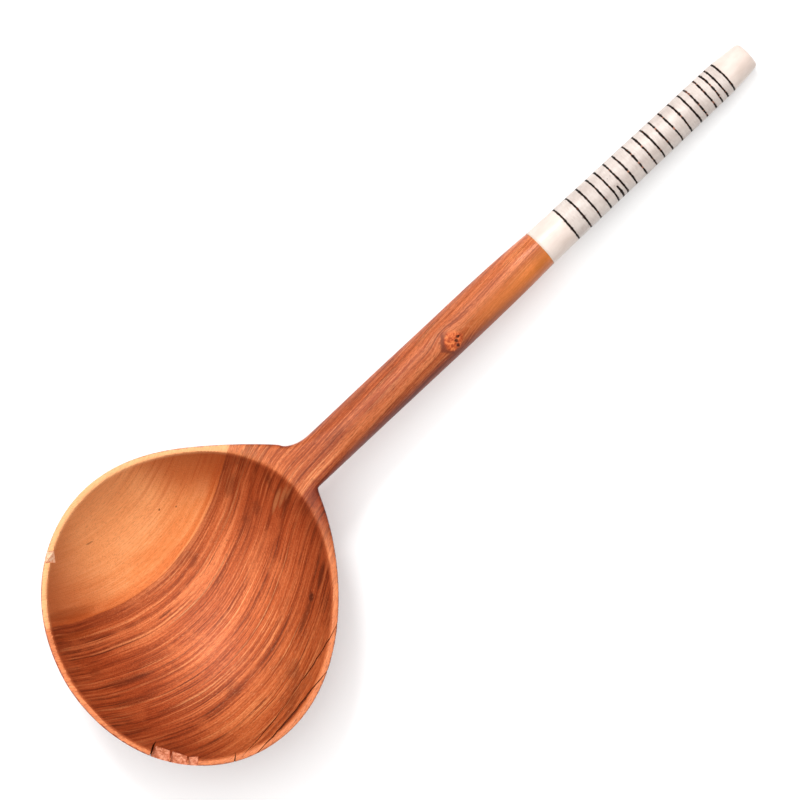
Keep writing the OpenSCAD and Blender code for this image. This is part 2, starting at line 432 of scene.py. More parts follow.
# Pits in the knot: place, radius and depth
PITS = [(-39.4, -2.6, 0.32, 0.5), (-41.1, -3.0, 0.24, 0.4), (-41.6, -4.7, 0.3, 0.5)]


# -------- the wooden spoon

# Spacing of the grid that the wood is traced on, and how far past the wood it reaches
WOOD_STEP, ROUND_ROOM, PAST_JOINT = 0.75, 2.0, 3.0
# The grid is narrow from this far beyond the bowl's neck, with this much room round the handle's line
BEYOND_NECK, SHANK_ROOM = 12.0, 12.0


def maybe_wood(points):
    """Says which points of the grid can be near the wood's surface."""
    in_shank = points[:, 0] > BOWL_X + NECK_LEN + BEYOND_NECK
    return ~in_shank | ((np.abs(points[:, 1]) < SHANK_ROOM) & (np.abs(points[:, 2]) < SHANK_ROOM))


def build_wood():
    """Bowl, neck, shank and tenon as one closed piece, cut flat where the bone begins."""
    low = np.array((BOWL_X - TOE_LEN, bowl_middle(-10) - BOWL_W / 2, RIM_Z - BOWL_D)) - ROUND_ROOM
    high = (PAST_JOINT, bowl_middle(60) + BOWL_W / 2 + ROUND_ROOM, RIM_Z + 2 * ROUND_ROOM)
    vertices, quads = surface_net(wood, low, high, WOOD_STEP, maybe_wood)
    vertices = settle(vertices, quads, wood, 6)

    bm = bmesh.new()
    corners = [bm.verts.new(v) for v in vertices]
    for quad in quads:
        bm.faces.new([corners[i] for i in quad])
    everything = bm.verts[:] + bm.edges[:] + bm.faces[:]
    bmesh.ops.bisect_plane(
        bm, geom=everything, dist=1e-4, plane_co=(0, 0, 0), plane_no=(1, 0, 0), clear_outer=True
    )
    rim = [e for e in bm.edges if e.is_boundary]
    for radius, x in ((TENON_R, 0), (TENON_R, TENON_LEN), (0.1, TENON_LEN)):
        out = bmesh.ops.extrude_edge_only(bm, edges=rim)["geom"]
        for e in rim:
            e.smooth = False
        rim = [g for g in out if isinstance(g, bmesh.types.BMEdge) and g.is_boundary]
        for v in {v for e in rim for v in e.verts}:
            round_part = Vector((0, v.co.y, v.co.z)).normalized() * radius
            v.co = Vector((x, 0, 0)) + round_part
    bmesh.ops.holes_fill(bm, edges=rim)
    bmesh.ops.recalc_face_normals(bm, faces=bm.faces)
    bm.transform(place)
    for f in bm.faces:
        f.smooth = True
    mesh = bpy.data.meshes.new("carved_wood")
    bm.to_mesh(mesh)
    bm.free()
    made = make_object("carved_wood", mesh)
    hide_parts("wooden_spoon")
    return made


# -------- bone, rings and plug

ROUND_STEPS = 144
# How worn the ink of some rings is, by ring number
WORN_RINGS = {
    6: 0.4, 7: 0.6, 8: 1.0, 9: 0.8, 10: 0.5, 11: 0.8, 12: 1.0, 13: 0.6, 15: 1.1, 16: 1.0, 17: 0.9, 18: 0.6,
}
# Room kept beside a ring's centre line, the longest step between rows, and where the lumps die out
RING_ROOM = RING_W / 2 * 1.12 + 0.05
LONGEST_STEP = 0.9
LUMPS_FADE = 6.0
turn = np.linspace(0, 2 * np.pi, ROUND_STEPS, endpoint=False)


def bone_radius(x):
    """The bone's radius along the handle, with the bends between its tapers smoothed."""
    spots = [0, RING_X[0], RING_X[-1], BONE_LEN]
    radii = [JOINT_R, FIRST_RING_R + FULLER, LAST_RING_R + FULLER, TIP_R]
    shifts = np.linspace(-3.5, 3.5, 9)
    smooth = np.mean([np.interp(x + s, spots, radii) for s in shifts], 0)
    at_ends = ease(np.minimum(x, BONE_LEN - x) / 5)
    return mix(np.interp(x, spots, radii), smooth, at_ends)


def round_waves(counts, heights):
    """A closed wavy line round the bone: one height for each step of turn."""
    return sum(h * np.sin(n * turn + rng.uniform(0, 2 * np.pi)) for n, h in zip(counts, heights))


class Ring:
    """One hand-cut ring: how it wanders along the bone, how wide it is and how full of ink."""

    def __init__(self, x, wear=0.0):
        self.x = x
        self.wander = round_waves([1, 2, 3, 7, 15, 23], [0.06, 0.05, 0.04, 0.02, 0.015, 0.015])
        self.half = RING_W / 2 * (1 + round_waves([2, 5, 11, 23, 37], [0.06, 0.06, 0.09, 0.1, 0.09]))
        self.cut = np.ones(ROUND_STEPS)
        worn = round_waves([3, 7, 13, 19, 29], [0.3, 0.4, 0.4, 0.35, 0.3])
        # Where the ink has worn away, it lies just below the groove's floor
        self.fill = 1 - 1.2 * ease((worn - 1.2 + wear) / 0.45)


rings = [Ring(x, WORN_RINGS.get(i + 1, 0.0)) for i, x in enumerate(RING_X)]


def point_on(radius, x, angle):
    """Position at an angle from the top of the bone towards the right."""
    return np.stack([x, -radius * np.sin(angle), radius * np.cos(angle)], -1)


def revolve(rows, closed):
    """Quads between rows of vertices round the handle's line, and round again if closed."""
    n = len(rows)
    j = np.arange(ROUND_STEPS)
    k = (j + 1) % ROUND_STEPS
    last = n if closed else n - 1
    quads = [
        np.stack([i * ROUND_STEPS + j, i * ROUND_STEPS + k, (i + 1) % n * ROUND_STEPS + k,
                  (i + 1) % n * ROUND_STEPS + j], 1)
        for i in range(last)
    ]
    return np.concatenate(rows), np.concatenate(quads)


def lumps_at(lumps, x):
    """Unevenness of the bone at x, which dies out towards its ends."""
    return lumps * ease(min(x, BONE_LEN - x) / LUMPS_FADE)


def part_ring_cut():
    """Depth of the unfinished ring round the bone, from 0 to 1."""
    degrees = np.degrees(turn)
    return ease((degrees - PART_RING_FROM) / 8) * ease((PART_RING_TO - degrees) / 12)


PART_RING_WIDER = 1.1
part_ring = Ring(PART_RING_X)
part_ring.cut = part_ring_cut()
part_ring.half *= PART_RING_WIDER
all_rings = sorted(rings + [part_ring], key=lambda ring: ring.x)


def build_bone():
    """The bone sleeve: rows of vertices from the joint to the tip, and back through its bore."""
    rows = []

    def row(x, radius):
        rows.append(point_on(np.broadcast_to(radius, turn.shape), np.broadcast_to(x, turn.shape), turn))

    lumps = round_waves([1, 2, 3], [0.05, 0.06, 0.03])
    from_x, previous_wander = GLUE_FILM, np.zeros(ROUND_STEPS)
    row(GLUE_FILM, JOINT_R)
    # None stands for the tip, which ends the last stretch
    for ring in all_rings + [None]:
        to_x = BONE_LEN - TIP_EDGE if ring is None else ring.x - RING_ROOM
        wander = np.zeros(ROUND_STEPS) if ring is None else ring.wander
        steps = max(int((to_x - from_x) / LONGEST_STEP), 2)
        for step in range(1 if from_x == GLUE_FILM else 0, steps + 1):
            share = step / steps
            x = mix(from_x, to_x, share)
            row(x + mix(previous_wander, wander, share), bone_radius(x) + lumps_at(lumps, x))
        if ring is None:
            break
        radius = bone_radius(ring.x) + lumps_at(lumps, ring.x)
        for offset, depth in ((-1, 0), (-FLOOR_PART, 1), (FLOOR_PART, 1), (1, 0)):
            row(ring.x + offset * ring.half + wander, radius - RING_DEPTH * depth * ring.cut)
        from_x, previous_wander = ring.x + RING_ROOM, wander
    for angle in np.radians(np.arange(15, 91, 15)):
        row(BONE_LEN - TIP_EDGE * (1 - np.sin(angle)), TIP_R - TIP_EDGE * (1 - np.cos(angle)))
    row(BONE_LEN, TIP_BORE_R + BORE_EDGE)
    row(BONE_LEN - BORE_EDGE, TIP_BORE_R)
    row(MARROW_LEN, TIP_BORE_R)
    row(MARROW_LEN, MARROW_R)
    row(GLUE_FILM, MARROW_R)
    vertices, quads = revolve(rows, closed=True)
    made = make_object("bone_handle", mesh_from("bone_handle", vertices, quads[:, ::-1]))
    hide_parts("bone_sleeve")
    return made, lumps


# The ink's section: how far to each side, and how high in the groove
INK_SECTION = [
    (-1, -0.3), (-1, -0.1), (-1, 0.8), (-0.5, 1.0), (0.5, 1.0), (1, 0.8), (1, -0.1), (1, -0.3),
]
# How much of the groove's width the ink takes, and the shallowest cut that holds ink
INK_FIT, HOLDS_INK = 0.99, 0.06


def build_ink(name, node, ring, lumps):
    """The ink in one ring: a low band in the groove, thin or gone where it has worn."""
    floor = bone_radius(ring.x) + lumps_at(lumps, ring.x) - RING_DEPTH * ring.cut
    height = (RING_DEPTH - INK_SUNK) * ring.cut * ring.fill
    rows = []
    for side, level in INK_SECTION:
        rise = level * height if level > 0 else level * RING_DEPTH
        wall = mix(FLOOR_PART, 1, np.maximum(rise, 0) / RING_DEPTH)
        x = ring.x + ring.wander + side * ring.half * wall * INK_FIT
        rows.append(point_on(floor + rise, x, turn))
    vertices, quads = revolve(rows, closed=True)
    held = np.flatnonzero(ring.cut > HOLDS_INK)
    if len(held) < ROUND_STEPS:
        low, high = held.min(), held.max()
        first = quads[:, 0] % ROUND_STEPS
        starts = np.arange(len(rows)) * ROUND_STEPS
        ends = [list(starts + low), list(starts + high)[::-1]]
        quads = [list(q) for q in quads[(first >= low) & (first < high)]] + ends
        used = np.unique(np.concatenate(quads))
        vertices, quads = vertices[used], [np.searchsorted(used, q).tolist() for q in quads]
        mesh = mesh_from(name, vertices, [q[::-1] for q in quads])
    else:
        mesh = mesh_from(name, vertices, quads[:, ::-1])
    made = make_object(name, mesh)
    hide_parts(node)
    return made


def build_plug():
    """The plug in the tip: its inner end is bevelled, its outer end rounded and slightly proud."""
    # How far each row lies from the tip, and how far in from the plug's side
    profile = [
        (-PLUG_LEN, PLUG_R - 0.3), (-PLUG_LEN, 0.3), (0.3 - PLUG_LEN, 0), (-4, 0), (-0.25, 0),
        (-0.08, 0.07), (0, 0.25), (0.03, PLUG_R * 0.4), (0.04, PLUG_R - 0.3),
    ]
    rows = [
        point_on(np.full(ROUND_STEPS, PLUG_R - inset), np.full(ROUND_STEPS, BONE_LEN + x), turn)
        for x, inset in profile
    ]
    vertices, quads = revolve(rows, closed=False)
    mesh = mesh_from("tip_plug", vertices, quads[:, ::-1])
    bm = bmesh.new()
    bm.from_mesh(mesh)
    bmesh.ops.holes_fill(bm, edges=[e for e in bm.edges if e.is_boundary])
    bmesh.ops.recalc_face_normals(bm, faces=bm.faces)
    for f in bm.faces:
        f.smooth = True
    bm.to_mesh(mesh)
    bm.free()
    made = make_object("tip_plug", mesh)
    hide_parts("bone_end_plug")
    return made


# -------- materials


def linear(red, green, blue):
    """A colour given as 0 to 255 screen values, as the shader's linear values."""
    shares = [c / 255 for c in (red, green, blue)]
    return tuple(c / 12.92 if c <= 0.04 else ((c + 0.055) / 1.055) ** 2.4 for c in shares) + (1,)


class Look:
    """Short calls that build one material's nodes; spot is the place in the row frame in millimetres."""

    def __init__(self, name):
        self.material = bpy.data.materials.new(name)
        self.material.use_nodes = True
        self.tree = self.material.node_tree
        self.shader = self.tree.nodes["Principled BSDF"]
        position = self.add("TexCoord").outputs["Object"]
        self.spot = self.scaled(position, 1 / MM)

    def add(self, kind, *values, **settings):
        node = self.tree.nodes.new("ShaderNode" + kind)
        for key, value in settings.items():
            setattr(node, key, value)
        for i, value in enumerate(values):
            self.put(node.inputs[i], value)
        return node

    def put(self, socket, value):
        """Links an output socket to the socket, or sets a plain value on it."""
        if isinstance(value, bpy.types.NodeSocket):
            self.tree.links.new(value, socket)
        else:
            socket.default_value = value

    def put_all(self, node, values):
        for key, value in values.items():
            self.put(node.inputs[key], value)

    def math(self, operation, *values):
        return self.add("Math", *values, operation=operation).outputs[0]

    def times(self, a, b):
        return self.math("MULTIPLY", a, b)

    def vector(self, operation, *values):
        node = self.add("VectorMath", *values, operation=operation)
        return node.outputs["Value" if operation in ("LENGTH", "DISTANCE", "DOT_PRODUCT") else "Vector"]

    def scaled(self, vector, factor):
        node = self.add("VectorMath", vector, operation="SCALE")
        self.put_all(node, {"Scale": factor})
        return node.outputs["Vector"]

    def join(self, x, y, z):
        return self.add("CombineXYZ", x, y, z).outputs[0]

    def split(self, vector):
        return self.add("SeparateXYZ", vector).outputs[:]

    def noise(self, vector, scale=1.0, detail=2.0, rough=0.5):
        node = self.add("TexNoise")
        self.put_all(node, {"Vector": vector, "Scale": scale, "Detail": detail, "Roughness": rough})
        return node.outputs["Fac"]

    def fade(self, value, low, high, to_low=0.0, to_high=1.0):
        """value taken smoothly from low..high to to_low..to_high, and held there beyond them."""
        if low > high:
            low, high, to_low, to_high = high, low, to_high, to_low
        limits = (low, high, to_low, to_high)
        return self.add("MapRange", value, *limits, interpolation_type="SMOOTHSTEP").outputs[0]

    def ramp(self, value, stops):
        """A colour read from stops, each a position from 0 to 1 and a 0 to 255 screen colour."""
        node = self.add("ValToRGB", value)
        bits = node.color_ramp.elements
        while len(bits) < len(stops):
            bits.new(0.5)
        for bit, (position, colour) in zip(bits, stops):
            bit.position = position
            bit.color = linear(*colour)
        return node.outputs[0]

    def blend(self, share, a, b, way="MIX"):
        """Two colours mixed by share; plain ones are given as 0 to 255 screen values."""
        node = self.add("Mix", data_type="RGBA", blend_type=way)
        for key, value in (("Factor_Float", share), ("A_Color", a), ("B_Color", b)):
            socket = next(i for i in node.inputs if i.identifier == key)
            self.put(socket, linear(*value) if isinstance(value, tuple) and len(value) == 3 else value)
        return next(o for o in node.outputs if o.identifier == "Result_Color")

    def finish(self, colour, roughness, height, depth, strength, specular):
        """Sets the shader and its bump, whose depth is in millimetres, and gives back the material."""
        bump = self.add("Bump")
        self.put_all(bump, {"Height": height, "Distance": depth * MM, "Strength": strength})
        self.put_all(self.shader, {"Base Color": colour, "Roughness": roughness})
        self.put_all(self.shader, {"Specular IOR Level": specular, "Normal": bump.outputs[0]})
        return self.material


# Places on the wood, in the row frame in millimetres
# The growth layers: the middle of their bend, their slope, bend and spread, and where they run straight
LAYER_CENTRE_X = -102.0
LAYER_SLOPE, LAYER_CURVE, LAYER_SPREAD = 0.083, 0.00826, 0.00236
STRAIGHT_FROM = 46.0
# The layer where sapwood begins
SAP_LINE = 14.1
# The plane of the rim, as its rise towards the toe and its height at x = 0
RIM_SLOPE = math.tan(REST_TILT)
RIM_AT_ZERO = joint.z / MM + RIM_Z / math.cos(REST_TILT) + joint.x / MM * RIM_SLOPE
# The knot's place, how far round it the layers part, and its pits that are only colour and bump
KNOT, KNOT_REACH = (16.9, 4.4, 24.3), 5.0
KNOT_PITS = ((19.0, 4.8), (17.8, 4.2), (17.2, 2.6))
KNOT_TONES = [(0.0, (150, 60, 28)), (0.5, (198, 92, 48)), (1.0, (226, 128, 74))]
HEART_TONES = [
    (0.0, (140, 60, 25)), (0.35, (184, 88, 43)), (0.65, (206, 108, 60)), (1.0, (226, 134, 84)),
]
# Thin lines in the heartwood: how closely they lie, their colour and their strength
HEART_LINES = [(1.5, (96, 38, 18), 0.75), (0.9, (120, 52, 26), 0.6), (1.15, (244, 166, 112), 0.6)]
SAP_TONES = [(0.0, (224, 133, 76)), (0.5, (234, 149, 92)), (1.0, (244, 166, 112))]
# Stains along the grain: place, half length, half width, strength and shade
DARK, PALE, AMBER = (88, 36, 16), (222, 158, 108), (176, 90, 38)
STAINS = [
    (-73.3, -24.4, 1.5, 1.1, 0.95, DARK), (-66.0, -21.3, 4.5, 1.2, 0.7, DARK),
    (-79.0, -27.8, 7.0, 1.0, 0.55, DARK), (-71.0, -29.0, 3.5, 1.2, 0.35, DARK),
    (-112.0, 4.0, 3.0, 0.6, 0.5, DARK), (-135.0, -3.5, 9.0, 1.6, 0.45, DARK),
    (-138.0, -10.0, 8.0, 1.2, 0.4, DARK), (-68.0, 20.0, 4.0, 2.0, 0.35, DARK),
    (-90.0, 30.0, 0.45, 0.35, 0.8, DARK), (-85.3, 27.0, 0.4, 0.3, 0.7, DARK),
    (-113.7, 37.5, 1.5, 0.3, 0.5, DARK),
    (-60.0, 6.7, 4.2, 1.0, 0.7, PALE), (-57.6, 6.6, 4.0, 0.9, 0.6, PALE),
    (-55.4, 6.9, 2.8, 0.6, 0.45, PALE),
    (-134.0, 25.0, 8.0, 2.4, 0.5, AMBER), (-137.0, 18.5, 7.0, 1.6, 0.45, AMBER),
]


def grain_layer(x, y):
    """Distance across the growth layers at one place in the bowl, in plain numbers."""
    dx = x - LAYER_CENTRE_X
    return y - LAYER_SLOPE * dx - LAYER_CURVE * dx**2 + LAYER_SPREAD * y * dx


def wood_layers(look):
    """Distance across the growth layers, which curve through the bowl and run straight in the shank.

    Gives it twice: with the layers' natural wavering, and plain.
    """
    m, times = look.math, look.times
    x, y, _ = look.split(look.spot)
    slow = m("SUBTRACT", look.noise(look.spot, 0.025, 2), 0.5)
    waver = m("SUBTRACT", look.noise(look.spot, 0.12, 2), 0.5)
    dx = m("SUBTRACT", x, LAYER_CENTRE_X)
    bowl_dx = m("SMOOTH_MIN", dx, STRAIGHT_FROM, 12.0)
    bend = times(times(bowl_dx, bowl_dx), LAYER_CURVE)
    spread = times(times(bowl_dx, y), LAYER_SPREAD)
    plain = m("SUBTRACT", m("ADD", y, spread), m("MULTIPLY_ADD", dx, LAYER_SLOPE, bend))
    return m("MULTIPLY_ADD", waver, 0.4, m("MULTIPLY_ADD", slow, 2.2, plain)), plain


def around_knot(look, layer):
    """The layers parted round the knot, and the distance from it."""
    m, times = look.math, look.times
    from_knot = look.vector("DISTANCE", look.spot, KNOT)
    at_knot = KNOT[1] * (1 + LAYER_SPREAD * STRAIGHT_FROM) - LAYER_CURVE * STRAIGHT_FROM**2
    at_knot -= LAYER_SLOPE * (KNOT[0] - LAYER_CENTRE_X)
    near_knot = m("EXPONENT", times(m("POWER", m("DIVIDE", from_knot, KNOT_REACH), 2.0), -1.0))
    squeeze = m("SUBTRACT", 1.0, times(near_knot, 0.8))
    return m("MULTIPLY_ADD", m("SUBTRACT", layer, at_knot), squeeze, at_knot), from_knot


class Wood:
    """Where a point lies in the wood, and noises that follow the growth layers there."""

    def __init__(self, look):
        self.look = look
        self.x, self.y, self.z = look.split(look.spot)
        wavering, self.plain_layer = wood_layers(look)
        self.layer, self.from_knot = around_knot(look, wavering)
        self.ahead, _, self.up = look.split(look.add("NewGeometry").outputs["Normal"])
        self.fine = self.grain(0.03, 2.3, 0.06, 4, 0.7)
        self.middle = self.grain(0.016, 0.75, 0.03, 3, 0.6)
        self.broad = self.grain(0.01, 0.16, 0.02, 2, 0.5)
        self.cloud = self.grain(0.06, 0.09, 0.05, 3, 0.6)
        self.fibre = self.grain(0.6, 4.5, 3.5, 3, 0.65)

    def grain(self, along, across, aside, detail, rough):
        """Noise that changes at its own pace along the grain, across the layers and within a layer."""
        paces = ((self.x, along), (self.layer, across), (self.z, aside))
        steps = [self.look.times(way, pace) for way, pace in paces]
        return self.look.noise(self.look.join(*steps), 1.0, detail, rough)


def heartwood(look, wood):
    """Bands of brown, with thin dark and pale lines along them, and painted shade towards the bowl's right
    wall.
    """
    m, fade, times = look.math, look.fade, look.times
    thick = m("ADD", times(wood.broad, 0.2), times(wood.fine, 0.3))
    tone = m("ADD", times(wood.middle, 0.5), thick)
    heart = look.ramp(fade(tone, 0.34, 0.66), HEART_TONES)
    heart = look.blend(fade(wood.fine, 0.46, 0.28, 0.0, 0.7), heart, (112, 46, 20))
    heart = look.blend(fade(wood.fine, 0.56, 0.74, 0.0, 0.7), heart, (240, 160, 106))
    fading = fade(look.noise(look.spot, 0.07, 2), 0.38, 0.6, 0.25, 1.0)
    for across, colour, share in HEART_LINES:
        peak = fade(wood.grain(0.009, across, 0.02, 1, 0.4), 0.6, 0.68)
        strength = times(fading, fade(wood.x, -60, -20, share, share * 0.5))
        heart = look.blend(times(peak, strength), heart, colour)
    heart = look.blend(fade(wood.cloud, 0.44, 0.3, 0.0, 0.55), heart, (116, 50, 22))
    heart = look.blend(fade(wood.cloud, 0.54, 0.7, 0.0, 0.45), heart, (228, 130, 78))
    heart = look.blend(fade(wood.layer, SAP_LINE - 5, SAP_LINE - 0.5, 0.0, 0.3), heart, (120, 52, 32))
    # Painted shade: darker across the layers towards the bowl's right wall and over much of the shank
    return look.blend(fade(wood.plain_layer, -12, -42), heart, (220, 210, 200), "MULTIPLY")


def sapwood(look, wood):
    """Paler and plainer wood, streaked next to the heartwood, with painted shade streaked on the steep
    walls by the neck and painted light on the bowl's left side.
    """
    m, fade, times = look.math, look.fade, look.times
    tone = m("ADD", times(wood.fine, 0.6), times(wood.cloud, 0.4))
    sap = look.ramp(fade(tone, 0.32, 0.68), SAP_TONES)
    in_band = fade(wood.layer, SAP_LINE + 13, SAP_LINE + 5, 0.0, 0.35)
    orange = times(in_band, fade(wood.cloud, 0.6, 0.4, 0.2, 1.0))
    sap = look.blend(times(orange, fade(wood.x, -120, -102, 0.2, 1.0)), sap, (224, 118, 52))
    edge_streaks = wood.grain(0.02, 0.7, 0.05, 2, 0.5)
    edge = look.ramp(fade(edge_streaks, 0.4, 0.62), [(0.0, (218, 118, 60)), (1.0, (246, 156, 98))])
    sap = look.blend(fade(wood.layer, SAP_LINE + 4.8, SAP_LINE + 1.5, 0.0, 0.9), sap, edge)
    # Painted light: paler on the bowl's left side, whose wall faces away from the lamps
    sap = look.blend(fade(wood.y, 22, 36, 0.0, 0.4), sap, (255, 176, 118))
    # Painted shade on the steep walls towards the neck, where the surface turns sideways, deepened in
    # streaks along the grain
    wall = times(fade(wood.x, -90, -77), fade(wood.up, 0.92, 0.65, 0.0, 0.7))
    sap = look.blend(wall, sap, (200, 100, 46))
    wall_shade_streaks = fade(wood.grain(0.012, 0.8, 0.03, 2, 0.5), 0.5, 0.64)
    shade_streak = times(wall_shade_streaks, fade(wood.up, 0.97, 0.8, 0.1, 1.0))
    return look.blend(times(shade_streak, fade(wood.x, -104, -80, 0.0, 0.45)), sap, (194, 90, 42))


def stained(look, wood, colour):
    """The colour with the stains that lie along the grain."""
    m, times = look.math, look.times
    for at_x, at_y, long, wide, share, shade in STAINS:
        off_x = times(m("SUBTRACT", wood.x, at_x), 1 / long)
        off_layer = times(m("SUBTRACT", wood.plain_layer, grain_layer(at_x, at_y)), 1 / wide)
        off = look.vector("LENGTH", look.join(off_x, off_layer, 0.0))
        off = m("MULTIPLY_ADD", m("SUBTRACT", wood.fibre, 0.5), 0.8, off)
        colour = look.blend(look.fade(off, 1.15, 0.5, 0.0, share), colour, shade)
    return colour


def oiled(look, wood, colour, in_sap):
    """The colour with its rim paler from wear and a painted highlight, fibres, end grain, a darker shank
    and painted shade low on its right side.
    """
    m, fade, times = look.math, look.fade, look.times
    # The rim's crest is paler: partly wear, partly a painted highlight
    over_rim = m("ADD", m("MULTIPLY_ADD", wood.x, RIM_SLOPE, wood.z), -RIM_AT_ZERO)
    rim = times(fade(over_rim, -2.2, -0.8), fade(wood.x, -50, -62))
    rim_wear_and_highlight = look.blend(in_sap, (244, 148, 96), (255, 192, 142))
    colour = look.blend(times(rim, 0.45), colour, rim_wear_and_highlight)

    dashes = times(fade(wood.fibre, 0.52, 0.34, 0.0, 0.5), fade(in_sap, 0, 1, 1.0, 0.55))
    colour = look.blend(dashes, colour, (104, 44, 20))
    colour = look.blend(fade(wood.fibre, 0.56, 0.74, 0.0, 0.25), colour, (255, 196, 150))

    # End grain drinks more oil, so it is darker where the surface faces along the handle
    end_grain = fade(m("ABSOLUTE", wood.ahead), 0.2, 0.75)
    colour = look.blend(times(end_grain, 0.6), colour, (172, 100, 56), "MULTIPLY")

    # Near the bone the wood turns golden on its right side
    golden = times(fade(wood.x, 14, 40), fade(wood.y, 9.5, 4.0))
    colour = look.blend(times(golden, 0.45), colour, (246, 150, 74))

    # The shank is a little darker in tone
    in_shank = times(fade(wood.x, -58, -30), fade(wood.x, 36, 52, 1.0, 0.4))
    colour = look.blend(in_shank, colour, (226, 217, 217), "MULTIPLY")
    # Painted shade low on the shank's right side, which faces away from the lamps
    painted_low_shade = times(fade(wood.x, -62, -48), fade(wood.x, 50, 10, 0.4, 1.0))
    painted_low_shade = times(fade(wood.y, 3.4, 0.5), painted_low_shade)
    return look.blend(times(painted_low_shade, 0.8), colour, (154, 88, 64), "MULTIPLY")


def knotted(look, wood, colour):
    """The colour with the knot and its dark crescent, and the depth of its pits from 0 to 1."""
    m, fade, times = look.math, look.fade, look.times
    ragged = m("SUBTRACT", look.noise(look.spot, 0.35, 3, 0.6), 0.5)
    from_knot = m("MULTIPLY_ADD", ragged, 3.0, wood.from_knot)
    core = look.ramp(fade(look.noise(look.spot, 0.75, 3, 0.65), 0.34, 0.66), KNOT_TONES)
    colour = look.blend(fade(from_knot, 4.2, 2.9, 0.0, 0.9), colour, core)
    ring = fade(m("ABSOLUTE", m("SUBTRACT", from_knot, 3.9)), 1.3, 0.3)
    crescent = times(ring, fade(wood.x, KNOT[0] + 1.5, KNOT[0] - 2.0))
    colour = look.blend(times(crescent, 0.75), colour, (104, 42, 26))
    nearest = 1000.0
    for at_x, at_y in KNOT_PITS:
        off = look.vector("DISTANCE", look.join(wood.x, wood.y, 0.0), (at_x, at_y, 0.0))
        nearest = m("MINIMUM", nearest, off)
    pits = fade(m("MULTIPLY_ADD", ragged, 1.2, nearest), 0.75, 0.35)
    pits = times(pits, fade(wood.z, 16, 20))
    return look.blend(times(pits, 0.9), colour, (66, 20, 10)), pits


def wood_look():
    """Olive-like wood, with heartwood, a light part of sapwood, and a knot."""
    look = Look("oiled_olive_wood")
    m, fade, times = look.math, look.fade, look.times
    wood = Wood(look)
    ragged = m("MULTIPLY_ADD", m("SUBTRACT", wood.fine, 0.5), 1.4, wood.layer)
    in_sap = fade(ragged, SAP_LINE - 0.4, SAP_LINE + 0.4)
    colour = look.blend(in_sap, heartwood(look, wood), sapwood(look, wood))
    colour = oiled(look, wood, stained(look, wood, colour), in_sap)
    colour, pits = knotted(look, wood, colour)
    colour = look.blend(1.0, colour, (255, 254, 246), "MULTIPLY")

    # Handling has polished the wood beside the bone
    polish = fade(wood.x, 43, 54)
    height = m("ADD", times(wood.fine, 0.6), times(wood.fibre, 0.4))
    height = m("SUBTRACT", height, times(pits, 2.0))
    height = times(height, m("MULTIPLY_ADD", polish, -0.92, 1.0))
    rough = m("MULTIPLY_ADD", polish, -0.18, fade(wood.fine, 0.3, 0.7, 0.52, 0.44))
    return look.finish(colour, rough, height, depth=0.1, strength=0.7, specular=0.22)


def torn_look(name, shades):
    """Wood torn across the grain: dull, pale and full of open pores."""
    look = Look(name)
    patch = look.noise(look.spot, 0.7, 4, 0.7)
    grit = look.noise(look.spot, 3.5, 3, 0.7)
    colour = look.ramp(look.fade(patch, 0.3, 0.7), list(zip((0.0, 0.5, 1.0), shades)))
    colour = look.blend(look.fade(grit, 0.5, 0.34, 0.0, 0.7), colour, shades[0], "MULTIPLY")
    rough = look.fade(grit, 0.3, 0.7, 0.7, 0.9)
    return look.finish(colour, rough, grit, depth=0.25, strength=1.0, specular=0.15)


def patchy_look(name, scale, shades, smoothest, roughest, depth, strength, specular):
    """Soft patches of two shades, rougher where they are paler."""
    look = Look(name)
    patch = look.noise(look.spot, scale, 3, 0.6)
    colour = look.ramp(look.fade(patch, 0.3, 0.7), list(zip((0.0, 1.0), shades)))
    rough = look.fade(patch, 0.3, 0.7, smoothest, roughest)
    return look.finish(colour, rough, patch, depth, strength, specular)


def crack_shade_look():
    """The walls of a crack: dark, as painted shade deepening the shadow within it."""
    return patchy_look("painted_crack_shade", 1.6, ((84, 34, 17), (138, 66, 36)), 0.75, 0.9, 0.1, 0.8, 0.1)


def adhesive_look():
    """Amber adhesive, cured and slightly glossy."""
    shades = ((150, 104, 58), (206, 168, 112))
    return patchy_look("aged_adhesive", 0.9, shades, 0.25, 0.4, 0.02, 0.4, 0.5)


def ink_look():
    """Dull dark ink, browner where it has worn."""
    look = Look("worn_ink")
    patch = look.noise(look.spot, 1.1, 3, 0.6)
    inks = [(0.0, (20, 10, 6)), (0.7, (36, 20, 14)), (1.0, (112, 62, 42))]
    colour = look.ramp(look.fade(patch, 0.35, 0.75), inks)
    grain = look.noise(look.spot, 5.0, 2)
    rough = look.fade(grain, 0.3, 0.7, 0.5, 0.75)
    return look.finish(colour, rough, grain, depth=0.03, strength=0.5, specular=0.15)


def handle_place(look):
    """Distance along the handle from the wood, and out from the handle's line."""
    from_joint = look.vector("SUBTRACT", look.spot, tuple(joint / MM))
    along = look.vector("DOT_PRODUCT", from_joint, tuple(axis))
    return along, look.vector("LENGTH", look.vector("CROSS_PRODUCT", from_joint, tuple(axis)))


